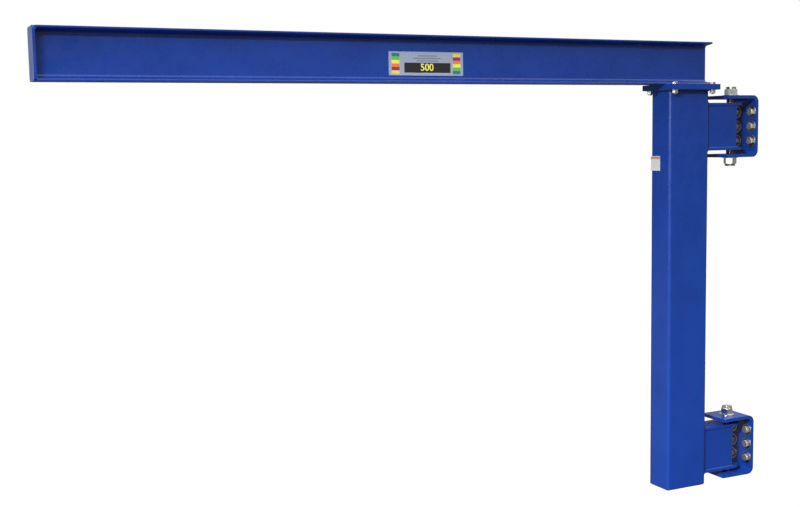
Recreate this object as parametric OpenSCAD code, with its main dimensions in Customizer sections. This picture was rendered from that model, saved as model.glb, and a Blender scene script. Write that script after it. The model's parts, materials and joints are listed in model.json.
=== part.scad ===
// Wall-mounted jib crane: a cantilever beam on a short mast that swings on two pins held by wall brackets.
// X = 0 is the wall face, the boom runs to -X, +Z is up, and the origin is the middle of the lower
// bracket's back face.

/* [Wall brackets] */
// Overall height of each bent bracket
bracket_h = 228; // [200:1:260]
// Width of each bracket along the wall
bracket_w = 120; // [112:1:150]
// Distance from the wall to the free edge of the ears
bracket_reach = 147; // [135:1:170]
// Plate thickness of the brackets
bracket_t = 12.5; // [10:0.5:16]
// Outer radius of the bracket's two bends
bend_r = 25; // [18:1:32]
// Height between the centres of the two brackets
bracket_spacing = 1213; // [900:1:1500]

/* [Wall bolts] */
// Diameter of the wall bolts
wall_bolt_d = 16; // [12:2:18]
// Distance between the two bolt columns
wall_bolt_pitch_y = 76; // [70:1:80]
// Distance between bolt rows
wall_bolt_pitch_z = 54; // [48:1:58]
// Outer diameter of the wall washers
wall_washer_d = 44; // [36:1:46]
// Thickness of the wall washers
wall_washer_t = 3; // [2:0.5:4]
// Length of the bolt shanks behind the bracket
wall_bolt_stick = 10; // [5:1:20]

/* [Pivot] */
// Distance from the wall to the swing axis
pivot_x = 80; // [76:1:90]
// Diameter of the pivot pins
pin_d = 27; // [24:0.5:30]
// Width across the flats of the pivot nuts
pin_nut_af = 41; // [38:1:50]
// Height of the pivot nuts
pin_nut_h = 30; // [26:0.5:34]
// Outer diameter of the washers under the pivot nuts
pin_washer_d = 57; // [50:1:64]
// Thickness of the washers under the pivot nuts
pin_washer_t = 3; // [2:0.5:4]
// Outer diameter of the bronze bushings
bushing_d = 31; // [30:0.5:34]

/* [Knuckles] */
// Overall height of each knuckle
knuckle_h = 174; // [150:1:180]
// Width of the knuckle plates
knuckle_w = 89; // [80:1:96]
// Thickness of the knuckle plates
knuckle_plate_t = 10; // [8:0.5:12]
// Width of the bent channel between the plates
channel_w = 84; // [76:1:88]
// Plate thickness of the bent channel
channel_t = 8; // [6:0.5:10]
// Distance the channel's legs end short of the swing axis
channel_short = 8; // [0:1:24]

/* [Mast] */
// Size of the mast tube along the boom
mast_l = 178; // [150:1:200]
// Size of the mast tube across the boom
mast_w = 110; // [100:1:120]
// Wall thickness of the mast tube
mast_t = 8; // [6:0.5:12]
// Outer corner radius of the mast tube
mast_r = 12; // [8:1:16]
// Distance from the wall to the mast's nearer face
mast_x = 228; // [205:1:260]
// Length of the mast below the origin
mast_drop = 125; // [115:1:200]

/* [Boom] */
// Depth of the beam
boom_h = 152.4; // [120:0.1:200]
// Flange width of the beam
boom_w = 90.6; // [80:0.1:100]
// Web thickness of the beam
boom_web_t = 11.8; // [6:0.1:14]
// Flange thickness at the flange's edge
flange_edge_t = 6; // [4:0.1:8]
// Height of the beam's underside
boom_z = 1366.5; // [1350:0.5:1500]
// Distance from the wall to the beam's inner end
boom_in = 208; // [195:1:215]
// Distance from the wall to the outer face of the end plate
boom_out = 2590; // [1800:1:3600]
// Thickness of the end plate
end_plate_t = 8; // [6:1:12]

/* [Boom plates] */
// Thickness of the mast's top plate and of the boom's base plate
plate_t = 10; // [8:1:14]
// Length of the plates along the boom
plate_l = 220; // [214:1:230]
// Width of the plates
plate_w = 168; // [164:1:172]
// Distance from the wall to the middle of the plates
plate_x = 313; // [310:1:316]
// Distance between bolts along the boom
plate_bolt_x = 170; // [160:1:180]
// Distance between bolts across the boom
plate_bolt_y = 140; // [138:1:144]

/* [Plates and labels] */
// Length of the capacity plate
rating_l = 270; // [200:1:320]
// Height of the capacity plate
rating_h = 76; // [50:1:90]
// Distance from the wall to the middle of the capacity plate
rating_x = 1357; // [900:1:1800]
// Side of the square label on the mast
label_s = 53; // [40:1:60]

/* [Hidden] */
$fn = 64;

powder_blue = [0.08, 0.24, 0.60];
zinc = [0.72, 0.73, 0.74];
bronze = [0.66, 0.42, 0.22];

wall_hole_d = wall_bolt_d + 3;
wall_bolt_af = 24;
wall_head_h = 10;
pin_hole_d = pin_d + 1;
crown_h = 8;                         // slotted crown of a pin nut
crown_d = pin_nut_af - 3;
crown_slot_w = 7;
pin_sunk = 7.5;                      // upper pin's ends below its nuts' tops
pin_proud = 2;                       // lower pin's end above its nut's top
bushing_bore = pin_d + 0.1;          // running clearance 0.05 mm a side
thrust_play = 0.1;                   // bushing end to the ear that carries it
ear_face = bracket_h / 2 - bracket_t;
nut_seat = bracket_h / 2 + pin_washer_t;
foot_cap_t = 6;
plate_bolt_d = 12;
plate_hole_d = 13.5;
plate_bolt_af = 19;
plate_head_h = 8;
plate_nut_h = 10.5;
plate_washer_d = 24;
plate_washer_t = 2.5;
mast_top = boom_z - 2 * plate_t;
flange_slope = 1 / 6;
rating_t = 1.5;
label_t = 0.6;
label_y = 27;                        // label's middle from the mast's centre line
label_z = 1083;
rating_z = boom_z + 63;

// ---- shared shapes ----

module rounded_rect(l, w, r) {
    square([l - 2 * r, w], center = true);
    square([l, w - 2 * r], center = true);
    for (x = [-1, 1], y = [-1, 1])
        translate([x * (l / 2 - r), y * (w / 2 - r)]) circle(r);
}

// Hexagon prism standing on Z = 0, its corners chamfered at one end or both
module hex(af, h, both = false) {
    corner_r = af / 2 / cos(30);
    bevel = (corner_r - af / 2) * 0.7;
    intersection() {
        cylinder(h = h, r = corner_r, $fn = 6);
        union() {
            translate([0, 0, both ? bevel : 0]) cylinder(h = h - bevel * (both ? 2 : 1), r = corner_r + 1);
            translate([0, 0, h - bevel]) cylinder(h = bevel, r1 = corner_r + 0.3, r2 = af / 2 - 0.3);
            if (both) cylinder(h = bevel, r1 = af / 2 - 0.3, r2 = corner_r + 0.3);
        }
    }
}

module ring(d, bore, h) {
    difference() {
        cylinder(h = h, d = d);
        translate([0, 0, -1]) cylinder(h = h + 2, d = bore);
    }
}

module at_upper() translate([0, 0, bracket_spacing]) children();

module at_wall_bolts()
    for (y = [-1, 1], row = [-1, 0, 1])
        translate([-bracket_t, y * wall_bolt_pitch_y / 2, row * wall_bolt_pitch_z]) children();

module at_plate_bolts()
    for (x = [-1, 1], y = [-1, 1])
        translate([-plate_x + x * plate_bolt_x / 2, y * plate_bolt_y / 2, 0]) children();

// ---- wall brackets ----

module bracket_section() {
    inner_h = bracket_h - 2 * bracket_t;
    difference() {
        intersection() {
            translate([-bracket_reach, 0]) rounded_rect(2 * bracket_reach, bracket_h, bend_r);
            translate([-bracket_reach, -bracket_h / 2]) square([bracket_reach, bracket_h]);
        }
        translate([-bracket_reach - bracket_t, 0])
            rounded_rect(2 * bracket_reach, inner_h, bend_r - bracket_t);
    }
}

module bracket() {
    difference() {
        rotate([90, 0, 0]) linear_extrude(bracket_w, center = true) bracket_section();
        translate([-pivot_x, 0, -bracket_h]) cylinder(h = 2 * bracket_h, d = pin_hole_d);
        at_wall_bolts() translate([-1, 0, 0]) rotate([0, 90, 0]) cylinder(h = bracket_t + 2, d = wall_hole_d);
    }
}

module wall_bolts()
    at_wall_bolts() {
        translate([-wall_washer_t, 0, 0]) rotate([0, -90, 0]) hex(wall_bolt_af, wall_head_h);
        translate([-wall_washer_t - 1, 0, 0]) rotate([0, 90, 0])
            cylinder(h = wall_washer_t + 1 + bracket_t + wall_bolt_stick, d = wall_bolt_d);
    }

module wall_washers()
    at_wall_bolts() rotate([0, -90, 0]) ring(wall_washer_d, wall_hole_d, wall_washer_t);

// ---- pivots ----

module pivot_pin(low, high) translate([-pivot_x, 0, low]) cylinder(h = high - low, d = pin_d);

// A slotted nut turned by a given angle: a hex body with a round crown cut by six slots.
module pivot_nut(z, up, turn) {
    body_h = pin_nut_h - crown_h;
    translate([-pivot_x, 0, z]) mirror([0, 0, up ? 0 : 1]) rotate([0, 0, turn]) difference() {
        union() {
            hex(pin_nut_af, body_h);
            cylinder(h = pin_nut_h, d = crown_d);
        }
        translate([0, 0, -1]) cylinder(h = pin_nut_h + 2, d = pin_d);
        for (flat = [30, 90, 150])
            rotate([0, 0, flat]) translate([-pin_nut_af, -crown_slot_w / 2, body_h])
                cube([2 * pin_nut_af, crown_slot_w, crown_h + 1]);
    }
}

module pivot_washer(up)
    translate([-pivot_x, 0, 0]) mirror([0, 0, up ? 0 : 1])
        translate([0, 0, bracket_h / 2]) ring(pin_washer_d, pin_hole_d, pin_washer_t);

module pivot_washers() {
    at_upper() pivot_washer(true);
    at_upper() pivot_washer(false);
    pivot_washer(true);
}

module bushing(up)
    translate([-pivot_x, 0, 0]) mirror([0, 0, up ? 0 : 1])
        translate([0, 0, knuckle_h / 2 - knuckle_plate_t])
            ring(bushing_d, bushing_bore, ear_face - thrust_play - knuckle_h / 2 + knuckle_plate_t);

// ---- knuckles ----

module knuckle_plate(up)
    mirror([0, 0, up ? 0 : 1]) translate([0, 0, knuckle_h / 2 - knuckle_plate_t]) difference() {
        linear_extrude(knuckle_plate_t) {
            translate([-pivot_x, 0]) circle(d = knuckle_w);
            translate([-mast_x, -knuckle_w / 2]) square([mast_x - pivot_x, knuckle_w]);
        }
        translate([-pivot_x, 0, -1]) cylinder(h = knuckle_plate_t + 2, d = bushing_d);
    }

// Its back stands on the mast and its legs run out on both sides of the pin.
module knuckle_channel() {
    reach = mast_x - pivot_x - channel_short;
    height = knuckle_h - 2 * knuckle_plate_t;
    translate([-mast_x, 0, 0]) linear_extrude(height, center = true) difference() {
        intersection() {
            translate([reach, 0]) rounded_rect(2 * reach, channel_w, 12);
            translate([0, -channel_w / 2]) square([reach, channel_w]);
        }
        translate([reach + channel_t, 0]) rounded_rect(2 * reach, channel_w - 2 * channel_t, 12 - channel_t);
    }
}

// ---- mast and plates ----

module mast()
    translate([-mast_x - mast_l / 2, 0, -mast_drop]) linear_extrude(mast_top + mast_drop) difference() {
        rounded_rect(mast_l, mast_w, mast_r);
        rounded_rect(mast_l - 2 * mast_t, mast_w - 2 * mast_t, mast_r - mast_t);
    }

module mast_foot_cap()
    translate([-mast_x - mast_l / 2, 0, -mast_drop]) linear_extrude(foot_cap_t)
        rounded_rect(mast_l - 2 * mast_t, mast_w - 2 * mast_t, mast_r - mast_t);

module bolted_plate(z)
    difference() {
        translate([-plate_x, 0, z + plate_t / 2]) cube([plate_l, plate_w, plate_t], center = true);
        translate([0, 0, z - 1]) at_plate_bolts() cylinder(h = plate_t + 2, d = plate_hole_d);
    }

module flange_bolts()
    translate([0, 0, boom_z]) at_plate_bolts() {
        hex(plate_bolt_af, plate_head_h);
        shank = 2 * plate_t + plate_washer_t + plate_nut_h + 3;
        translate([0, 0, -shank]) cylinder(h = shank + 1, d = plate_bolt_d);
    }

module flange_washers()
    translate([0, 0, mast_top - plate_washer_t]) at_plate_bolts()
        ring(plate_washer_d, plate_hole_d, plate_washer_t);

module flange_nuts()
    translate([0, 0, mast_top - plate_washer_t - plate_nut_h]) at_plate_bolts() difference() {
        hex(plate_bolt_af, plate_nut_h, both = true);
        translate([0, 0, -1]) cylinder(h = plate_nut_h + 2, d = plate_bolt_d);
    }

// ---- boom ----

function arc(c, r, a0, a1, n) = [
    for (i = [0 : n])
        let (a = a0 + (a1 - a0) * i / n) c + r * [cos(a), sin(a)]
];

// Tapered-flange beam section, in [across, height above mid-depth], from one quarter and its mirror images
module boom_section() {
    half_w = boom_w / 2;
    half_web = boom_web_t / 2;
    half_h = boom_h / 2;
    tilt = atan(flange_slope);
    toe_r = 3;
    root_r = 9;
    toe_z = half_h - flange_edge_t;
    // inner flange line: z = toe_z - (half_w - y) * flange_slope
    toe_c = [half_w - toe_r, toe_z - toe_r * flange_slope + toe_r / cos(tilt)];
    root_c = [half_web + root_r, toe_z - (half_w - half_web - root_r) * flange_slope - root_r / cos(tilt)];
    quarter = concat(
        [[half_w, half_h]],
        arc(toe_c, toe_r, 0, -90 + tilt, 5),
        arc(root_c, root_r, 90 + tilt, 180, 6)
    );
    lower_right = [for (i = [len(quarter) - 1 : -1 : 0]) [quarter[i][0], -quarter[i][1]]];
    right = concat(quarter, lower_right);
    left = [for (i = [len(right) - 1 : -1 : 0]) [-right[i][0], right[i][1]]];
    polygon(concat(right, left));
}

module boom()
    translate([-boom_in, 0, boom_z + boom_h / 2]) rotate([90, 0, -90])
        linear_extrude(boom_out - end_plate_t - boom_in) boom_section();

module boom_end_plate()
    translate([-boom_out + end_plate_t, 0, boom_z + boom_h / 2]) rotate([90, 0, -90])
        linear_extrude(end_plate_t) rounded_rect(boom_w, boom_h, 9);

module capacity_plate()
    translate([-rating_x, -boom_web_t / 2, rating_z]) rotate([90, 0, 0])
        linear_extrude(rating_t) rounded_rect(rating_l, rating_h, 1);

module mast_label()
    translate([-mast_x - mast_l, label_y, label_z]) rotate([90, 0, -90])
        linear_extrude(label_t) rounded_rect(label_s, label_s, 2);

// ---- nodes ----

color(powder_blue) at_upper() bracket();  // upper_bracket
color(powder_blue) bracket();  // lower_bracket
color(zinc) at_upper() wall_bolts();  // upper_wall_bolts
color(zinc) wall_bolts();  // lower_wall_bolts
color(zinc) at_upper() wall_washers();  // upper_wall_washers
color(zinc) wall_washers();  // lower_wall_washers
color(zinc)  // upper_pivot_pin
    at_upper() pivot_pin(pin_sunk - nut_seat - pin_nut_h, nut_seat + pin_nut_h - pin_sunk);
color(zinc) at_upper() pivot_nut(nut_seat, true, 21);  // upper_pivot_top_nut
color(zinc) at_upper() pivot_nut(-nut_seat, false, 9);  // upper_pivot_bottom_nut
color(zinc)  // lower_pivot_pin
    pivot_pin(-bracket_h / 2, nut_seat + pin_nut_h + pin_proud);
color(zinc) pivot_nut(nut_seat, true, -7);  // lower_pivot_nut
color(zinc) pivot_washers();
color(powder_blue) mast();
color(powder_blue) mast_foot_cap();
color(powder_blue) bolted_plate(mast_top);  // mast_top_plate
color(powder_blue) bolted_plate(mast_top + plate_t);  // boom_base_plate
color(powder_blue) boom();
color(powder_blue) boom_end_plate();
color(powder_blue) at_upper() knuckle_channel();  // upper_knuckle_channel
color(powder_blue) at_upper() knuckle_plate(true);  // upper_knuckle_top_plate
color(powder_blue) at_upper() knuckle_plate(false);  // upper_knuckle_bottom_plate
color(powder_blue) knuckle_channel();  // lower_knuckle_channel
color(powder_blue) knuckle_plate(true);  // lower_knuckle_top_plate
color(powder_blue) knuckle_plate(false);  // lower_knuckle_bottom_plate
color(bronze) at_upper() bushing(true);  // upper_top_bushing
color(bronze) at_upper() bushing(false);  // upper_bottom_bushing
color(bronze) bushing(true);  // lower_top_bushing
color(bronze) bushing(false);  // lower_bottom_bushing
color(zinc) flange_bolts();
color(zinc) flange_nuts();
color(zinc) flange_washers();
color(zinc) capacity_plate();
color([0.92, 0.92, 0.9]) mast_label();
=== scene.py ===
# Looks of a wall-mounted jib crane: powder coat, zinc, bronze, weld beads, threads, plate and label.
import json
import math

import bpy
from mathutils import Matrix, Vector


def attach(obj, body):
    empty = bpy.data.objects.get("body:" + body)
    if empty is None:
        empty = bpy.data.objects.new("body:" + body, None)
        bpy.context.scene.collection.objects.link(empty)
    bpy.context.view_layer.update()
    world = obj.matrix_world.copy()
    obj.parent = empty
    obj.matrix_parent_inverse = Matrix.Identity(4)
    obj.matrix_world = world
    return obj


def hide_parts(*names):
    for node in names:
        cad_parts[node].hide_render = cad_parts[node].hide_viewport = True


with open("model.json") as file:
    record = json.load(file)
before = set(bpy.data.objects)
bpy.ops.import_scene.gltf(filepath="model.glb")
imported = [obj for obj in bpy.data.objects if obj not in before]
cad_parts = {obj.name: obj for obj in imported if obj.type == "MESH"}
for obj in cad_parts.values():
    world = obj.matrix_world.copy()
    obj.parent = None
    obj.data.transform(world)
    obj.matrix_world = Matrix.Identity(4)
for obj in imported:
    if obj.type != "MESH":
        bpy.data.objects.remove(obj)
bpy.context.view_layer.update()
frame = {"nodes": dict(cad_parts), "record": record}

NODES = frame["nodes"]
RECORD = frame["record"]
SLOT_OF = {row["node"]: row["material_slot"] for row in RECORD["subparts"]}
BODY_OF = {node: body for body, nodes in RECORD["behaviour"]["bodies"].items() for node in nodes}
MM = 0.001
UP = Vector((0, 0, 1))

# The crane's own sizes, in millimetres, as in its construction.
PIVOT_X = -80
BRACKET_RISE = 1213
WALL_BOLT_Y, WALL_BOLT_ROW = 38, 54    # columns from the middle, and one row from the next
BOOM_Z = 1366.5
BOOM_H = 152.4
BOOM_HALF_W = 45.3
WEB_HALF = 5.9
BOOM_IN_X = -208
END_PLATE_X = -2582
PLATE_T = 10
PLATE_LEFT_X = -423
PLATE_MID_X = -313
PLATE_BOLT_X, PLATE_BOLT_Y = 85, 70    # from the plates' middle
PLATE_WASHER_T, PLATE_NUT_H = 2.5, 10.5
MAST_TOP = BOOM_Z - 2 * PLATE_T
MAST_MID_X = -317
MAST_L, MAST_W, MAST_R = 178, 110, 12
MAST_FACE_X = -228
MAST_FOOT_Z = -125
KNUCKLE_TOP = 87
KNUCKLE_HALF_W = 44.5
KNUCKLE_PLATE_T = 10
CHANNEL_HALF_W = 42
CHANNEL_TOP = KNUCKLE_TOP - KNUCKLE_PLATE_T
CHANNEL_END_X = -88
STUD_R, STUD_PITCH, STUD_LEN = 8, 2, 10
BOLT_R, BOLT_PITCH, BOLT_LEN = 6, 1.75, 3
BOLT_END_Z = BOOM_Z - 2 * PLATE_T - PLATE_WASHER_T - PLATE_NUT_H - BOLT_LEN


# ---- camera, floor and light ----

EYE = Vector((-3.0618, -3.3572, 1.1971))
HEADING = 25.508                       # degrees from +Y towards +X
PITCH_DOWN = 5.844
ROLL = -0.951
LENS = 51.54
SENSOR_WIDTH = 36.0
FAR_CLIP = 200.0
WHITE = (1, 1, 1, 1)


def camera():
    data = bpy.data.cameras.new("camera")
    data.lens = LENS
    data.sensor_width = SENSOR_WIDTH
    data.clip_end = FAR_CLIP
    eye = bpy.data.objects.new("camera", data)
    bpy.context.scene.collection.objects.link(eye)
    heading, pitch, roll = (math.radians(a) for a in (HEADING, PITCH_DOWN, ROLL))
    level = Vector((math.sin(heading), math.cos(heading), 0.0))
    forward = level * math.cos(pitch) - UP * math.sin(pitch)
    right = forward.cross(UP).normalized()
    up = right.cross(forward)
    tilted_right = right * math.cos(roll) + up * math.sin(roll)
    tilted_up = up * math.cos(roll) - right * math.sin(roll)
    turn = Matrix((tilted_right, tilted_up, -forward)).transposed().to_4x4()
    eye.matrix_world = Matrix.Translation(EYE) @ turn
    bpy.context.scene.camera = eye


def add(tree, kind, inputs=None, **settings):
    """A shader node with its settings, and its inputs set to values or linked from sockets."""
    made = tree.nodes.new(kind)
    for key, value in settings.items():
        setattr(made, key, value)
    for key, value in (inputs or {}).items():
        if isinstance(value, bpy.types.NodeSocket):
            tree.links.new(value, made.inputs[key])
        else:
            made.inputs[key].default_value = value
    return made


def math_node(tree, operation, *values):
    made = add(tree, "ShaderNodeMath", dict(enumerate(values)), operation=operation)
    return made.outputs[0]


def ramp(tree, value, low, high, to_low, to_high):
    """A smooth change from one level to another while the value goes from low to high."""
    inputs = {"Value": value, "From Min": low, "From Max": high, "To Min": to_low, "To Max": to_high}
    return add(tree, "ShaderNodeMapRange", inputs, interpolation_type="SMOOTHSTEP").outputs[0]


FLOOR_Z = -1.60
FLOOR_SIZE = 40.0
FLOOR_GREY = (0.10, 0.10, 0.10, 1)
GLOW_TOWARDS = (-0.9, -0.44, 0)
# Each as where a change begins and ends, in metres, and the levels there.
GLOW_ALONG = (-2.0, 5.0, 0.20, 0.48)
GLOW_AWAY = (2.5, 6.5, 0.30, 1.0)
WHITE_AWAY = (2.0, 8.0, 0.93, 1.0)


def floor():
    bpy.ops.mesh.primitive_plane_add(size=FLOOR_SIZE, location=(0, 0, FLOOR_Z))
    slab = bpy.context.object
    slab.name = "floor"
    paper = bpy.data.materials.new("pale_floor")
    paper.use_nodes = True
    tree = paper.node_tree
    tree.nodes.clear()
    place = add(tree, "ShaderNodeTexCoord")
    along = add(tree, "ShaderNodeVectorMath", {0: place.outputs["Object"], 1: GLOW_TOWARDS},
                operation="DOT_PRODUCT").outputs["Value"]
    away = add(tree, "ShaderNodeVectorMath", {0: place.outputs["Object"]},
               operation="LENGTH").outputs["Value"]
    glow = math_node(tree, "MULTIPLY", ramp(tree, along, *GLOW_ALONG), ramp(tree, away, *GLOW_AWAY))
    bounce = add(tree, "ShaderNodeEmission", {"Color": WHITE, "Strength": glow})
    matte = add(tree, "ShaderNodeBsdfDiffuse", {"Color": FLOOR_GREY})
    paleness = ramp(tree, away, *WHITE_AWAY)
    white = add(tree, "ShaderNodeEmission", {"Color": WHITE, "Strength": paleness})
    lit = add(tree, "ShaderNodeAddShader", {0: matte.outputs[0], 1: white.outputs[0]})
    path = add(tree, "ShaderNodeLightPath")
    mix = add(tree, "ShaderNodeMixShader",
              {0: path.outputs["Is Camera Ray"], 1: bounce.outputs[0], 2: lit.outputs[0]})
    add(tree, "ShaderNodeOutputMaterial", {"Surface": mix.outputs[0]})
    slab.data.materials.append(paper)


KEY_AT = Vector((-3.5, -2.71, 2.80))
KEY_TOWARDS = Vector((0.445, 0.041, -0.895))
KEY_SIZE = 0.35
KEY_POWER = 505.0
KEY_SPREAD = 114.7
KEY_LAMPS = 5                          # side by side, away from the wall
END_FILL_AT = Vector((-4.5, 0.0, 1.6))
END_FILL_TOWARDS = Vector((1, 0, -0.1))
END_FILL_SPREAD = 180.0
END_FILL_SIZE = 0.8
END_FILL_POWER = 22.0

# The studio that the crane mirrors: a level all round, and patches, each with its direction, the cosine
# to it where the patch begins and is full, and what it adds there.
ROOM_LEVEL = 0.15
UNDER_HORIZON = (-0.02, 0.0, 0.15, 1.0)
ROOM_PATCHES = [
    ((0.25, -0.50, 0.83), 0.58, 0.92, 1.60),
    ((0.64, -0.77, 0.0), 0.86, 0.98, 0.09),
    ((-0.65, 0.76, 0.0), 0.84, 0.985, -0.06),
    ((-0.14, 0.99, 0.05), 0.95, 0.995, 0.32),
    ((0.64, 0.70, 0.32), 0.76, 0.96, 0.30),
    ((-0.76, -0.64, 0.05), 0.80, 0.95, 0.16),
    ((0.45, 0.05, 0.89), 0.80, 0.96, 0.75),
]

# What the nuts and rounded edges mirror near the horizon: a lit doorway and two pale walls.
HORIZON_PATCHES = [
    ((-0.875, -0.468, 0.11), 0.975, 0.994, 2.0),
    ((0.985, -0.17, 0.0), 0.90, 0.97, 0.33),
    ((-0.40, 0.916, 0.0), 0.96, 0.99, 0.10),
]


def lamp(name, at, towards, size, power, spread):
    panel = bpy.data.lights.new(name, "AREA")
    panel.shape = "DISK"
    panel.size = size
    panel.energy = power
    panel.spread = math.radians(spread)
    stand = bpy.data.objects.new(name, panel)
    bpy.context.scene.collection.objects.link(stand)
    stand.location = at
    stand.rotation_mode = "QUATERNION"
    stand.rotation_quaternion = towards.to_track_quat("-Z", "Y")
    stand.visible_camera = False


def add_patches(tree, towards, level, patches):
    """A level with each patch's own light added round its direction."""
    for direction, begins, full, gain in patches:
        near = add(tree, "ShaderNodeVectorMath", {0: towards, 1: Vector(direction).normalized()},
                   operation="DOT_PRODUCT").outputs["Value"]
        level = math_node(tree, "ADD", level, ramp(tree, near, begins, full, 0.0, gain))
    return level


def lights():
    for place in range(KEY_LAMPS):
        at = KEY_AT - Vector((KEY_SIZE * place, 0, 0))
        lamp("key_%d" % place, at, KEY_TOWARDS, KEY_SIZE, KEY_POWER / KEY_LAMPS, KEY_SPREAD)
    lamp("end_fill", END_FILL_AT, END_FILL_TOWARDS, END_FILL_SIZE, END_FILL_POWER, END_FILL_SPREAD)

    world = bpy.data.worlds.new("studio")
    bpy.context.scene.world = world
    world.use_nodes = True
    tree = world.node_tree
    tree.nodes.clear()
    towards = add(tree, "ShaderNodeTexCoord").outputs["Generated"]
    level = add_patches(tree, towards, ROOM_LEVEL, ROOM_PATCHES)
    height = add(tree, "ShaderNodeSeparateXYZ", {0: towards}).outputs["Z"]
    level = math_node(tree, "MULTIPLY", level, ramp(tree, height, *UNDER_HORIZON))
    level = add_patches(tree, towards, level, HORIZON_PATCHES)
    room = add(tree, "ShaderNodeBackground", {"Color": WHITE, "Strength": level})
    backdrop = add(tree, "ShaderNodeBackground", {"Color": WHITE, "Strength": 1.0})
    path = add(tree, "ShaderNodeLightPath")
    mix = add(tree, "ShaderNodeMixShader",
              {0: path.outputs["Is Camera Ray"], 1: room.outputs[0], 2: backdrop.outputs[0]})
    add(tree, "ShaderNodeOutputWorld", {"Surface": mix.outputs[0]})


# ---- finishes ----

CLOUDY = (0.35, 0.65, 0.0, 1.0)        # a noise made into patches with soft borders
GRAINY = (0.3, 0.7)                    # the part of a noise's range that a finish uses


def new_finish(name, **sockets):
    mat = bpy.data.materials.new(name)
    mat.use_nodes = True
    tree = mat.node_tree
    skin = tree.nodes["Principled BSDF"]
    for key, value in sockets.items():
        skin.inputs[key.replace("_", " ")].default_value = value
    return mat, tree, skin


def noise(tree, where, scale, detail=2.0):
    inputs = {"Vector": where, "Scale": scale, "Detail": detail, "Roughness": 0.5}
    return add(tree, "ShaderNodeTexNoise", inputs).outputs[0]


def blend(tree, amount, first, second):
    inputs = {0: amount, 6: first, 7: second}
    return add(tree, "ShaderNodeMix", inputs, data_type="RGBA").outputs[2]


def placed(tree, location=(0, 0, 0), scale=(1, 1, 1)):
    where = add(tree, "ShaderNodeTexCoord").outputs["Object"]
    inputs = {"Vector": where, "Location": location, "Scale": scale}
    return add(tree, "ShaderNodeMapping", inputs).outputs[0]


def tint(tree, skin, colour):
    tree.links.new(colour, skin.inputs["Base Color"])


def polish(tree, skin, grain, least, most):
    """Roughness that follows a grain from its least to its most."""
    tree.links.new(ramp(tree, grain, *GRAINY, least, most), skin.inputs["Roughness"])


def relief(tree, skin, height, depth, strength):
    """A fine relief of the surface, its depth in metres."""
    inputs = {"Height": height, "Distance": depth, "Strength": strength}
    tree.links.new(add(tree, "ShaderNodeBump", inputs).outputs[0], skin.inputs["Normal"])


def powder_coat(name, deep, pale, shift):
    """Satin powder coat: orange peel, with faint clouds where the film is thicker."""
    mat, tree, skin = new_finish(name, IOR=1.5)
    where = placed(tree, shift)
    clouds = ramp(tree, noise(tree, where, 7.0, 3.0), *CLOUDY)
    tint(tree, skin, blend(tree, clouds, deep, pale))
    polish(tree, skin, noise(tree, where, 30.0), 0.26, 0.32)
    relief(tree, skin, noise(tree, where, 330.0, 1.0), 0.00005, 0.6)
    return mat


def zinc_plate(name):
    """Bright zinc: cloudy patches of colour and polish, fine drawing marks."""
    mat, tree, skin = new_finish(name, Metallic=1.0)
    where = placed(tree)
    patches = ramp(tree, noise(tree, where, 160.0, 3.0), *CLOUDY)
    tint(tree, skin, blend(tree, patches, (0.84, 0.81, 0.73, 1), (0.72, 0.73, 0.74, 1)))
    polish(tree, skin, noise(tree, where, 420.0), 0.15, 0.27)
    relief(tree, skin, noise(tree, placed(tree, scale=(1, 1, 9)), 500.0), 0.00004, 0.6)
    return mat


# Painted shade: the heads' end faces, which face away from the wall, are painted darker than their sides.
PAINTED_SHADE_HEAD_END = (-0.97, -0.90, 1.0, 0.0)    # by how squarely a face looks down the bolt, away from the wall


def frosted_zinc(name):
    """Zinc on the wall bolts' heads: pale frosted sides, and end faces painted darker as painted shade."""
    mat, tree, skin = new_finish(name, Metallic=1.0)
    where = placed(tree)
    patches = ramp(tree, noise(tree, where, 190.0, 3.0), *CLOUDY)
    colour = blend(tree, patches, (0.98, 0.96, 0.91, 1), (0.84, 0.84, 0.83, 1))
    normal = add(tree, "ShaderNodeNewGeometry").outputs["Normal"]
    facing = add(tree, "ShaderNodeSeparateXYZ", {0: normal}).outputs["X"]
    # Painted shade: faces that look down the bolt, away from the wall, take the dark colour.
    tint(tree, skin, blend(tree, ramp(tree, facing, *PAINTED_SHADE_HEAD_END), colour, (0.50, 0.48, 0.43, 1)))
    polish(tree, skin, noise(tree, where, 420.0), 0.42, 0.56)
    relief(tree, skin, noise(tree, where, 900.0, 1.0), 0.00003, 0.6)
    return mat


WASHER_RIM_HIGHLIGHT = (0.0200, 0.0212, 0.0, 1.0)    # metres from the bolt where the rim's painted highlight begins and is bright
WASHER_RINGS = 5200.0                      # radians of ring for a metre outwards


def washer_zinc(name, rise):
    """Zinc on the wall washers: the face painted near black as painted shade and dark reflection, turned
    rings, and a painted highlight on the rim.
    """
    mat, tree, skin = new_finish(name, Metallic=1.0)
    axes = add(tree, "ShaderNodeSeparateXYZ", {0: placed(tree, (0, 0, -rise * MM))}).outputs
    across = math_node(tree, "SUBTRACT", math_node(tree, "ABSOLUTE", axes["Y"]), WALL_BOLT_Y * MM)
    row = math_node(tree, "ROUND", math_node(tree, "DIVIDE", axes["Z"], WALL_BOLT_ROW * MM))
    up = math_node(tree, "SUBTRACT", axes["Z"], math_node(tree, "MULTIPLY", row, WALL_BOLT_ROW * MM))
    squares = [math_node(tree, "POWER", side, 2.0) for side in (across, up)]
    radius = math_node(tree, "SQRT", math_node(tree, "ADD", *squares))
    rim = ramp(tree, radius, *WASHER_RIM_HIGHLIGHT)
    # Painted shade and painted highlight: the face is painted near black and the rim painted bright.
    tint(tree, skin, blend(tree, rim, (0.17, 0.175, 0.15, 1), (0.78, 0.75, 0.64, 1)))
    polish(tree, skin, noise(tree, placed(tree), 420.0), 0.22, 0.36)
    rings = math_node(tree, "SINE", math_node(tree, "MULTIPLY", radius, WASHER_RINGS))
    relief(tree, skin, rings, 0.00003, 0.5)
    return mat


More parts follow.
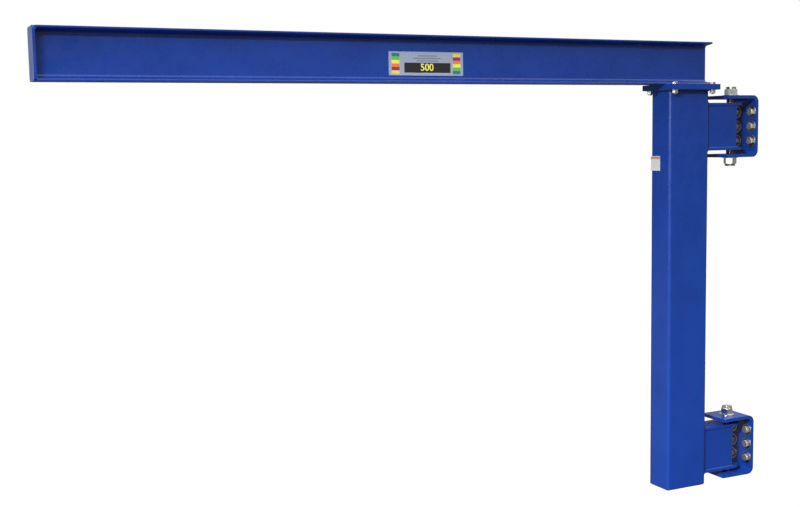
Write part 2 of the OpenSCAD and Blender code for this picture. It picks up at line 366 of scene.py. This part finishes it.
def turned_bronze(name):
    """Bronze turned to size: fine rings round the pivot and darker pores."""
    mat, tree, skin = new_finish(name, Metallic=1.0)
    where = placed(tree, (-PIVOT_X * MM, 0, 0))
    pores = ramp(tree, noise(tree, where, 900.0), 0.42, 0.62, 0.0, 1.0)
    tint(tree, skin, blend(tree, pores, (0.17, 0.09, 0.045, 1), (0.40, 0.24, 0.14, 1)))
    tree.links.new(ramp(tree, pores, 0.0, 1.0, 0.3, 0.16), skin.inputs["Roughness"])
    rings = add(tree, "ShaderNodeTexWave", {"Vector": where, "Scale": 320.0, "Distortion": 0.4},
                bands_direction="Z").outputs["Fac"]
    relief(tree, skin, rings, 0.00005, 0.6)
    return mat


def inside(tree, across, up, centre, size):
    """1 inside a rectangle given in millimetres, 0 outside."""
    masks = []
    for axis, middle, extent in ((across, centre[0], size[0]), (up, centre[1], size[1])):
        offset = math_node(tree, "ABSOLUTE", math_node(tree, "SUBTRACT", axis, middle * MM))
        masks.append(math_node(tree, "LESS_THAN", offset, extent / 2 * MM))
    return math_node(tree, "MULTIPLY", *masks)


STREAK = 0.86                          # how dark the ground's streaks are beside it


def printed(name, ground, across_axis, middle, prints):
    """A printed face: rectangles of ink over a ground, all placed in millimetres from its middle."""
    mat, tree, skin = new_finish(name)
    where = placed(tree, tuple(-c * MM for c in middle))
    axes = add(tree, "ShaderNodeSeparateXYZ", {0: where})
    across, up = axes.outputs[across_axis], axes.outputs["Z"]
    grain = noise(tree, placed(tree, scale=(1, 1, 14)), 260.0)
    streaks = tuple(c * STREAK for c in ground[:3]) + (1,)
    colour = blend(tree, ramp(tree, grain, *GRAINY, 0.0, 1.0), ground, streaks)
    for centre, size, ink in prints:
        colour = blend(tree, inside(tree, across, up, centre, size), colour, (*ink, 1))
    tint(tree, skin, colour)
    polish(tree, skin, grain, 0.30, 0.42)
    relief(tree, skin, grain, 0.00002, 0.5)
    return mat


INK = {
    "black": (0.013, 0.011, 0.012), "grey": (0.10, 0.11, 0.15), "yellow": (0.72, 0.52, 0.06),
    "lemon": (0.68, 0.66, 0.10), "green": (0.12, 0.40, 0.05), "teal": (0.01, 0.16, 0.20),
    "purple": (0.20, 0.02, 0.16), "orange": (0.70, 0.17, 0.04), "tan": (0.42, 0.20, 0.09),
    "light grey": (0.36, 0.36, 0.37),
}
RATING_MIDDLE = (-1357, 0, BOOM_Z + 63)
LABEL_MIDDLE = (0, 27, 1083)
STACK = ("teal", "green", "lemon", "orange", "purple", "yellow")
STACK_X, STACK_TOP, STACK_W, STACK_ROW = 111, 27.5, 28, 11
RATING_PANEL = ((4, -13), (168, 32))
RATING_LINES = ((70, 4), (100, 2), (78, 4))    # the width of each, and how far right it stands
LABEL_BAND = ((0, 20), (53, 9))
LINE_GAP = 8


def rating_prints():
    prints = [(*RATING_PANEL, INK["black"])]
    for row, (width, right) in enumerate(RATING_LINES):
        prints.append(((right, 25 - LINE_GAP * row), (width, 2.6), INK["grey"]))
    for side, order in ((-1, STACK), (1, STACK[::-1])):
        for row, ink in enumerate(order):
            place = (side * STACK_X, STACK_TOP - STACK_ROW * row)
            prints.append((place, (STACK_W, STACK_ROW), INK[ink]))
    return prints


def label_prints():
    """A band over four lines, every other one shorter."""
    prints = [(*LABEL_BAND, INK["tan"])]
    for row in range(4):
        short = row % 2
        prints.append(((-3 * short, 8 - LINE_GAP * row), (38 - 6 * short, 1.6), INK["light grey"]))
    return prints


def yellow_ink(name):
    """Screen-printed yellow, a little thin in places."""
    mat, tree, skin = new_finish(name, Roughness=0.35)
    thin = ramp(tree, noise(tree, placed(tree), 700.0), *GRAINY, 0.0, 1.0)
    tint(tree, skin, blend(tree, thin, (0.74, 0.70, 0.14, 1), (0.62, 0.60, 0.12, 1)))
    return mat


DEEP_BLUE, PALE_BLUE = (0.0030, 0.0295, 0.208, 1), (0.0036, 0.0335, 0.232, 1)
FOIL, VINYL = (0.284, 0.334, 0.427, 1), (0.556, 0.556, 0.556, 1)
FROSTED_ZINC = frosted_zinc("frosted_zinc")
FINISH = {
    "upper_wall_bolts": FROSTED_ZINC,
    "lower_wall_bolts": FROSTED_ZINC,
    "upper_wall_washers": washer_zinc("upper_washer_zinc", BRACKET_RISE),
    "lower_wall_washers": washer_zinc("lower_washer_zinc", 0),
    "jib_blue": powder_coat("jib_powder_coat", DEEP_BLUE, PALE_BLUE, (0, 0, 0)),
    "bracket_blue": powder_coat("bracket_powder_coat", DEEP_BLUE, PALE_BLUE, (3.1, 1.7, 0.4)),
    "zinc_hardware": zinc_plate("zinc"),
    "bronze": turned_bronze("turned_bronze"),
    "rating_plate": printed("rating_foil", FOIL, "X", RATING_MIDDLE, rating_prints()),
    "white_label": printed("label_vinyl", VINYL, "Y", LABEL_MIDDLE, label_prints()),
}


# ---- shop edges: every part gets its broken edges ----

MERGE_WITHIN = 0.00002                 # metres
FLAT_WITHIN = math.radians(0.4)
SHARP_ABOVE = math.radians(34)
FOOT_ROUND = 5

def deselect():
    bpy.ops.object.select_all(action="DESELECT")


def hold(piece):
    deselect()
    piece.select_set(True)
    bpy.context.view_layer.objects.active = piece


def apply(piece, kind, **settings):
    hold(piece)
    modifier = piece.modifiers.new(kind.lower(), kind)
    for key, value in settings.items():
        setattr(modifier, key, value)
    bpy.ops.object.modifier_apply(modifier=modifier.name)


def solid_copy(node):
    """The node's own solid as one clean mesh with flat faces whole, ready for edge work."""
    piece = bpy.data.objects.new(node + "_shop", NODES[node].data.copy())
    bpy.context.scene.collection.objects.link(piece)
    hold(piece)
    bpy.ops.mesh.customdata_custom_splitnormals_clear()
    bpy.ops.object.mode_set(mode="EDIT")
    bpy.ops.mesh.select_all(action="SELECT")
    bpy.ops.mesh.remove_doubles(threshold=MERGE_WITHIN)
    bpy.ops.mesh.dissolve_limited(angle_limit=FLAT_WITHIN)
    bpy.ops.object.mode_set(mode="OBJECT")
    return piece


def round_foot(piece):
    """The mast's lower edge is dressed round after its cap is welded in."""
    hold(piece)
    bpy.ops.object.mode_set(mode="EDIT")
    bpy.ops.mesh.select_all(action="DESELECT")
    bpy.ops.object.mode_set(mode="OBJECT")
    points = piece.data.vertices
    inner_l, inner_w = (MAST_L - MAST_R) / 2 * MM, (MAST_W - MAST_R) / 2 * MM
    for edge in piece.data.edges:
        ends = [points[i].co for i in edge.vertices]
        edge.select = all(abs(e.z - MAST_FOOT_Z * MM) < MM / 10 and
                          (abs(e.x - MAST_MID_X * MM) > inner_l or abs(e.y) > inner_w) for e in ends)
    bpy.ops.object.mode_set(mode="EDIT")
    bpy.ops.mesh.bevel(offset=FOOT_ROUND * MM, segments=4)
    bpy.ops.object.mode_set(mode="OBJECT")


def own(piece, body, slot, *nodes):
    """Gives a piece its finish and its body, and hides the nodes it stands for."""
    piece.data.materials.clear()
    piece.data.materials.append(FINISH.get(nodes[0] if nodes else slot, FINISH[slot]))
    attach(piece, body)
    if nodes:
        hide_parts(*nodes)


def break_edges(piece, width):
    apply(piece, "BEVEL", width=width * MM, segments=2, limit_method="ANGLE", angle_limit=SHARP_ABOVE,
          use_clamp_overlap=True)
    hold(piece)
    bpy.ops.object.shade_smooth_by_angle(angle=SHARP_ABOVE)
    apply(piece, "WEIGHTED_NORMAL", keep_sharp=True)


EDGE_WIDTH = {
    "bracket_blue": 1.0, "jib_blue": 0.8, "zinc_hardware": 0.4, "bronze": 0.35,
    "rating_plate": 0.25, "white_label": 0.12,
}
OWN_WIDTH = {
    "mast": 0.6, "boom": 0.8, "upper_wall_washers": 0.8, "lower_wall_washers": 0.8, "pivot_washers": 0.8,
    "upper_pivot_pin": 0.9, "lower_pivot_pin": 1.2, "flange_bolts": 0.3, "flange_nuts": 0.3,
    "upper_wall_bolts": 0.3, "lower_wall_bolts": 0.3,
}


def shank_axes():
    """Every threaded end: where its centre line starts, its direction and length, its radius and pitch."""
    ends = {"upper_wall_bolts": [], "lower_wall_bolts": [], "flange_bolts": []}
    for node, rise in (("upper_wall_bolts", BRACKET_RISE), ("lower_wall_bolts", 0)):
        for y in (-WALL_BOLT_Y, WALL_BOLT_Y):
            for row in (-WALL_BOLT_ROW, 0, WALL_BOLT_ROW):
                ends[node].append(((0, y, rise + row), (1, 0, 0), STUD_LEN, STUD_R, STUD_PITCH))
    for x in (-PLATE_BOLT_X, PLATE_BOLT_X):
        for y in (-PLATE_BOLT_Y, PLATE_BOLT_Y):
            start = (PLATE_MID_X + x, y, BOLT_END_Z + BOLT_LEN)
            ends["flange_bolts"].append((start, (0, 0, -1), BOLT_LEN, BOLT_R, BOLT_PITCH))
    return ends


THREADED = shank_axes()
THREAD_DEPTH = 0.61                    # of the pitch
THREAD_STEPS = 20                      # in one turn
THREAD_SMOOTH = math.radians(40)
CREST_PROUD = 0.02
NECK_REACH = 1.05                      # of the shank's radius
AT_START = 0.00001                     # metres


def neck(piece, ends):
    """Draws threaded ends in to their root radius; the thread piece stands round them."""
    for start, towards, length, radius, pitch in ends:
        start, towards = Vector(start) * MM, Vector(towards)
        hold(piece)
        bpy.ops.object.mode_set(mode="EDIT")
        bpy.ops.mesh.select_all(action="SELECT")
        bpy.ops.mesh.bisect(plane_co=start, plane_no=towards)
        bpy.ops.object.mode_set(mode="OBJECT")
        shrink = 1 - THREAD_DEPTH * pitch / radius
        for vertex in piece.data.vertices:
            offset = vertex.co - start
            along = offset.dot(towards)
            across = offset - towards * along
            if along > -AT_START and across.length < NECK_REACH * radius * MM:
                vertex.co = start + towards * along + across * shrink


for node, slot in SLOT_OF.items():
    shop_part = solid_copy(node)
    if node in THREADED:
        neck(shop_part, THREADED[node])
    if node == "mast":
        round_foot(shop_part)
    break_edges(shop_part, OWN_WIDTH.get(node, EDGE_WIDTH[slot]))
    own(shop_part, BODY_OF[node], slot, node)


# ---- threads ----

def thread(start, towards, length, radius, pitch):
    """One threaded length: a single zigzag of the profile screwed round the shank, cut square at both ends."""
    crest, root = (radius + CREST_PROUD) * MM, (radius - THREAD_DEPTH * pitch) * MM
    flat = pitch / 8
    profile = [(root, -pitch / 2), (root, flat - pitch / 2), (crest, -flat / 2), (crest, flat / 2),
               (root, pitch / 2)]
    mesh = bpy.data.meshes.new("thread")
    lines = [(i, i + 1) for i in range(len(profile) - 1)]
    mesh.from_pydata([(r, 0, z * MM) for r, z in profile], lines, [])
    spiral = bpy.data.objects.new("thread", mesh)
    bpy.context.scene.collection.objects.link(spiral)
    turns = math.ceil(length / pitch) + 1
    apply(spiral, "SCREW", screw_offset=pitch * MM, iterations=turns, steps=THREAD_STEPS,
          render_steps=THREAD_STEPS, use_merge_vertices=True, use_smooth_shade=True)
    bpy.ops.object.mode_set(mode="EDIT")
    for height, outwards in ((0.0, -1), (length * MM, 1)):
        bpy.ops.mesh.select_all(action="SELECT")
        bpy.ops.mesh.bisect(plane_co=(0, 0, height), plane_no=(0, 0, outwards), use_fill=True,
                            clear_outer=True)
    bpy.ops.mesh.select_all(action="SELECT")
    bpy.ops.mesh.normals_make_consistent(inside=False)
    bpy.ops.object.mode_set(mode="OBJECT")
    bpy.ops.object.shade_smooth_by_angle(angle=THREAD_SMOOTH)
    turn = Vector(towards).to_track_quat("Z", "X").to_matrix().to_4x4()
    spiral.data.transform(Matrix.Translation(Vector(start) * MM) @ turn)
    return spiral


for node, ends in THREADED.items():
    spirals = [thread(*end) for end in ends]
    deselect()
    for spiral in spirals:
        spiral.select_set(True)
    bpy.context.view_layer.objects.active = spirals[0]
    bpy.ops.object.join()
    threads = bpy.context.object
    threads.name = node + "_threads"
    own(threads, BODY_OF[node], "zinc_hardware")


# ---- plate number ----

NUMBER = "500"
NUMBER_H, NUMBER_BOLD, NUMBER_T = 32, 0.6, 0.1
NUMBER_RIGHT, NUMBER_DOWN = 2, 12.5    # from the plate's middle
NUMBER_OUT = 1.5                       # from the web


def rating_number():
    bpy.ops.object.text_add(location=(0, 0, 0))
    text = bpy.context.object
    text.data.body = NUMBER
    text.data.align_x = text.data.align_y = "CENTER"
    text.data.size = NUMBER_H * MM
    text.data.offset = NUMBER_BOLD * MM
    text.data.extrude = NUMBER_T * MM
    hold(text)
    bpy.ops.object.convert(target="MESH")
    number = bpy.context.object
    number.name = "rating_number"
    across, _, up = RATING_MIDDLE
    turn = Matrix.Rotation(math.radians(90), 4, "X")
    place = Vector((across + NUMBER_RIGHT, -WEB_HALF - NUMBER_OUT, up - NUMBER_DOWN)) * MM
    number.data.transform(Matrix.Translation(place) @ turn)
    number.data.materials.clear()
    number.data.materials.append(yellow_ink("number_ink"))
    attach(number, "jib")


rating_number()


# ---- weld beads ----

RIPPLE = 2.6
RIPPLE_PARTS = (0.55, 0.45)            # up to its thickest place, and on to the next ripple
RIPPLE_SWELL = 1.12
RIPPLE_LEAN = 0.7                      # how far a ripple's middle runs ahead of its toes
RING_GAP = 0.00005                     # metres
BEAD_SIDES = 12
BEAD_SMOOTH = math.radians(60)
FACE_FROM, FACE_SPAN, FACE_FLAT = 0.7, 0.3, 0.11    # the face is flattened from there on, by so much
WANDER_SCALE, WANDER = 12, 1.1


def straight_bead(length, leg_across, leg_up):
    """A rippled bead along +X from the origin, its legs along +Y and +Z, sizes in millimetres."""
    count = max(1, round(length / RIPPLE))
    step = length / count * MM
    bpy.ops.mesh.primitive_circle_add(vertices=BEAD_SIDES, radius=MM, rotation=(0, math.pi / 2, 0))
    bead = bpy.context.object
    hold(bead)
    bpy.ops.object.transform_apply(location=True, rotation=True, scale=True)
    bpy.ops.object.mode_set(mode="EDIT")
    for advance, swell in zip(RIPPLE_PARTS, (RIPPLE_SWELL, 1 / RIPPLE_SWELL)):
        bpy.ops.mesh.extrude_region_move(TRANSFORM_OT_translate={"value": (advance * step, 0, 0)})
        bpy.ops.transform.resize(value=(1, swell, swell))
    bpy.ops.object.mode_set(mode="OBJECT")
    for vertex in bead.data.vertices:
        y, z = vertex.co.y / MM, vertex.co.z / MM
        facing = max(0.0, (y + z) / math.hypot(y, z) / math.sqrt(2))
        flatten = 1.0 - FACE_FLAT * max(0.0, facing - FACE_FROM) / FACE_SPAN
        vertex.co.x += RIPPLE_LEAN * MM * facing
        vertex.co.y = y * leg_across * flatten * MM
        vertex.co.z = z * leg_up * flatten * MM
    apply(bead, "ARRAY", count=count, use_relative_offset=False, use_constant_offset=True,
          constant_offset_displace=(step, 0, 0), use_merge_vertices=True, merge_threshold=RING_GAP)
    bpy.ops.object.mode_set(mode="EDIT")
    bpy.ops.mesh.select_all(action="SELECT")
    bpy.ops.mesh.fill_holes(sides=BEAD_SIDES)
    bpy.ops.object.mode_set(mode="OBJECT")
    return bead


def weld_run(start, end, across, up, leg, other_leg=None):
    """A straight bead between two places, its legs lying across and up."""
    start, end = Vector(start), Vector(end)
    across, up = Vector(across).normalized(), Vector(up).normalized()
    length = (end - start).length
    along = (end - start) / length
    if along.dot(across.cross(up)) < 0:
        start, along = end, -along
    bead = straight_bead(length, leg, other_leg or leg)
    turn = Matrix((along, across, up)).transposed().to_4x4()
    bead.data.transform(Matrix.Translation(start * MM) @ turn)
    return bead


def corner(centre_x, centre_y, radius, start, stop, steps=8):
    """Points round a corner, from one angle to another in degrees."""
    angles = [math.radians(start + (stop - start) * i / steps) for i in range(steps + 1)]
    return [(centre_x + radius * math.cos(a), centre_y + radius * math.sin(a)) for a in angles]


def weld_round(outline, height, up, leg, other_leg=None):
    """A fillet round a level outline, given clockwise from above so that its left is outside."""
    length = sum(math.dist(a, b) for a, b in zip(outline, outline[1:]))
    bead = straight_bead(length, leg, other_leg or leg)
    path = bpy.data.curves.new("weld_path", "CURVE")
    path.dimensions = "3D"
    line = path.splines.new("POLY")
    line.points.add(len(outline) - 1)
    for point, (x, y) in zip(line.points, outline):
        point.co = (x * MM, y * MM, 0, 1)
    guide = bpy.data.objects.new("weld_path", path)
    bpy.context.scene.collection.objects.link(guide)
    apply(bead, "CURVE", object=guide, deform_axis="POS_X")
    bpy.data.objects.remove(guide)
    bead.data.transform(Matrix.Translation((0, 0, height * MM)) @ Matrix.Diagonal((1, 1, up, 1)))
    return bead


def uneven(piece):
    """The welder's hand: beads wander and swell a little."""
    clouds = bpy.data.textures.new("bead_wander", "CLOUDS")
    clouds.noise_scale = WANDER_SCALE * MM
    apply(piece, "DISPLACE", texture=clouds, texture_coords="LOCAL", strength=WANDER * MM, mid_level=0.5)


def weld(name, beads):
    """Joins beads into one painted piece on the jib."""
    deselect()
    for bead in beads:
        bead.select_set(True)
    bpy.context.view_layer.objects.active = beads[0]
    bpy.ops.object.join()
    piece = bpy.context.object
    piece.name = name
    uneven(piece)
    bpy.ops.object.mode_set(mode="EDIT")
    bpy.ops.mesh.select_all(action="SELECT")
    bpy.ops.mesh.normals_make_consistent(inside=False)
    bpy.ops.object.mode_set(mode="OBJECT")
    bpy.ops.object.shade_smooth_by_angle(angle=BEAD_SMOOTH)
    own(piece, "jib", "jib_blue")
    return piece


def mast_outline(half_l, half_w, radius):
    """Clockwise from above, starting at the middle of the mast's near side."""
    x, y, r = half_l - radius, half_w - radius, radius
    loop = [(0, -half_w)]
    for centre, start in (((-x, -y), 270), ((-x, y), 180), ((x, y), 90), ((x, -y), 0)):
        loop += corner(*centre, r, start, start - 90)
    loop.append((0, -half_w))
    return [(MAST_MID_X + px, py) for px, py in loop]


BOOM_LEGS, BOOM_END_LEG = (5.5, 4.5), 4.2
BOOM_BEAD_IN, BOOM_BEAD_OUT = 3, 2     # short of the plate's edge, and past the beam's inner end
END_PLATE_LEG = 4.5
FILLET_H = 17                          # where the web's straight part begins
FLANGE_TOE, FLANGE_TOE_H = BOOM_HALF_W - 2, 6.4
FLANGE_ROOT, FLANGE_ROOT_H = WEB_HALF + 6, 12.2
FLANGE_TAPER = 6
KNUCKLE_LEG, KNUCKLE_SIDE_LEG, CHANNEL_LEG = 6.0, 4.5, 9.0
CHANNEL_BEAD_IN = 6
SEAM_LEGS, SEAM_IN = (1.8, 2.4), 12
FOOT_LEGS, FOOT_IN, FOOT_R = (3.5, 1.6), 8, 4
TOP_LEG = 5.0


def boom_beads():
    """The beam on its base plate: along both edges of the flange and across its inner end."""
    beads = []
    for side in (-1, 1):
        y = side * BOOM_HALF_W
        start = (PLATE_LEFT_X + BOOM_BEAD_IN, y, BOOM_Z)
        end = (BOOM_IN_X + BOOM_BEAD_OUT, y, BOOM_Z)
        beads.append(weld_run(start, end, (0, side, 0), UP, *BOOM_LEGS))
    start, end = (BOOM_IN_X, -BOOM_HALF_W, BOOM_Z), (BOOM_IN_X, BOOM_HALF_W, BOOM_Z)
    beads.append(weld_run(start, end, (1, 0, 0), UP, BOOM_END_LEG))
    return beads


def end_plate_beads():
    """The end plate on the beam: up both sides of the web and along the flanges' inner faces."""
    beads = []
    low, high = BOOM_Z, BOOM_Z + BOOM_H
    for side in (-1, 1):
        y = side * WEB_HALF
        start, end = (END_PLATE_X, y, low + FILLET_H), (END_PLATE_X, y, high - FILLET_H)
        beads.append(weld_run(start, end, (1, 0, 0), (0, side, 0), END_PLATE_LEG))
        for foot, rise in ((low, 1), (high, -1)):
            toe = (END_PLATE_X, side * FLANGE_TOE, foot + rise * FLANGE_TOE_H)
            root = (END_PLATE_X, side * FLANGE_ROOT, foot + rise * FLANGE_ROOT_H)
            beads.append(weld_run(toe, root, (1, 0, 0), (0, side / FLANGE_TAPER, rise), END_PLATE_LEG))
    return beads


def knuckle_beads():
    """A knuckle on the mast: its plates' ends and edges, its channel's back, and the seams along its legs."""
    beads = []
    for face in (-1, 1):
        z = face * KNUCKLE_TOP
        start, end = (MAST_FACE_X, -KNUCKLE_HALF_W, z), (MAST_FACE_X, KNUCKLE_HALF_W, z)
        beads.append(weld_run(start, end, (1, 0, 0), (0, 0, face), KNUCKLE_LEG))
        for side in (-1, 1):
            y = side * KNUCKLE_HALF_W
            start, end = (MAST_FACE_X, y, z), (MAST_FACE_X, y, z - face * KNUCKLE_PLATE_T)
            beads.append(weld_run(start, end, (1, 0, 0), (0, side, 0), KNUCKLE_SIDE_LEG))
            y, z_seam = side * CHANNEL_HALF_W, face * CHANNEL_TOP
            start, end = (MAST_FACE_X + SEAM_IN, y, z_seam), (CHANNEL_END_X, y, z_seam)
            beads.append(weld_run(start, end, (0, side, 0), (0, 0, -face), *SEAM_LEGS))
    for side in (-1, 1):
        y = side * (CHANNEL_HALF_W - CHANNEL_BEAD_IN)
        start, end = (MAST_FACE_X, y, -CHANNEL_TOP), (MAST_FACE_X, y, CHANNEL_TOP)
        beads.append(weld_run(start, end, (1, 0, 0), (0, side, 0), CHANNEL_LEG))
    return beads


top_outline = mast_outline(MAST_L / 2, MAST_W / 2, MAST_R)
foot_outline = mast_outline(MAST_L / 2 - FOOT_IN, MAST_W / 2 - FOOT_IN, FOOT_R)
weld("boom_weld", boom_beads())
weld("end_plate_weld", end_plate_beads())
weld("mast_top_weld", [weld_round(top_outline, MAST_TOP, -1, TOP_LEG)])
weld("mast_foot_weld", [weld_round(foot_outline, MAST_FOOT_Z, -1, *FOOT_LEGS)])
weld("lower_knuckle_weld", knuckle_beads())
upper = weld("upper_knuckle_weld", knuckle_beads())
upper.data.transform(Matrix.Translation((0, 0, BRACKET_RISE * MM)))

bpy.context.view_layer.update()
camera()
floor()
lights()
bpy.context.scene.view_settings.view_transform = "Standard"
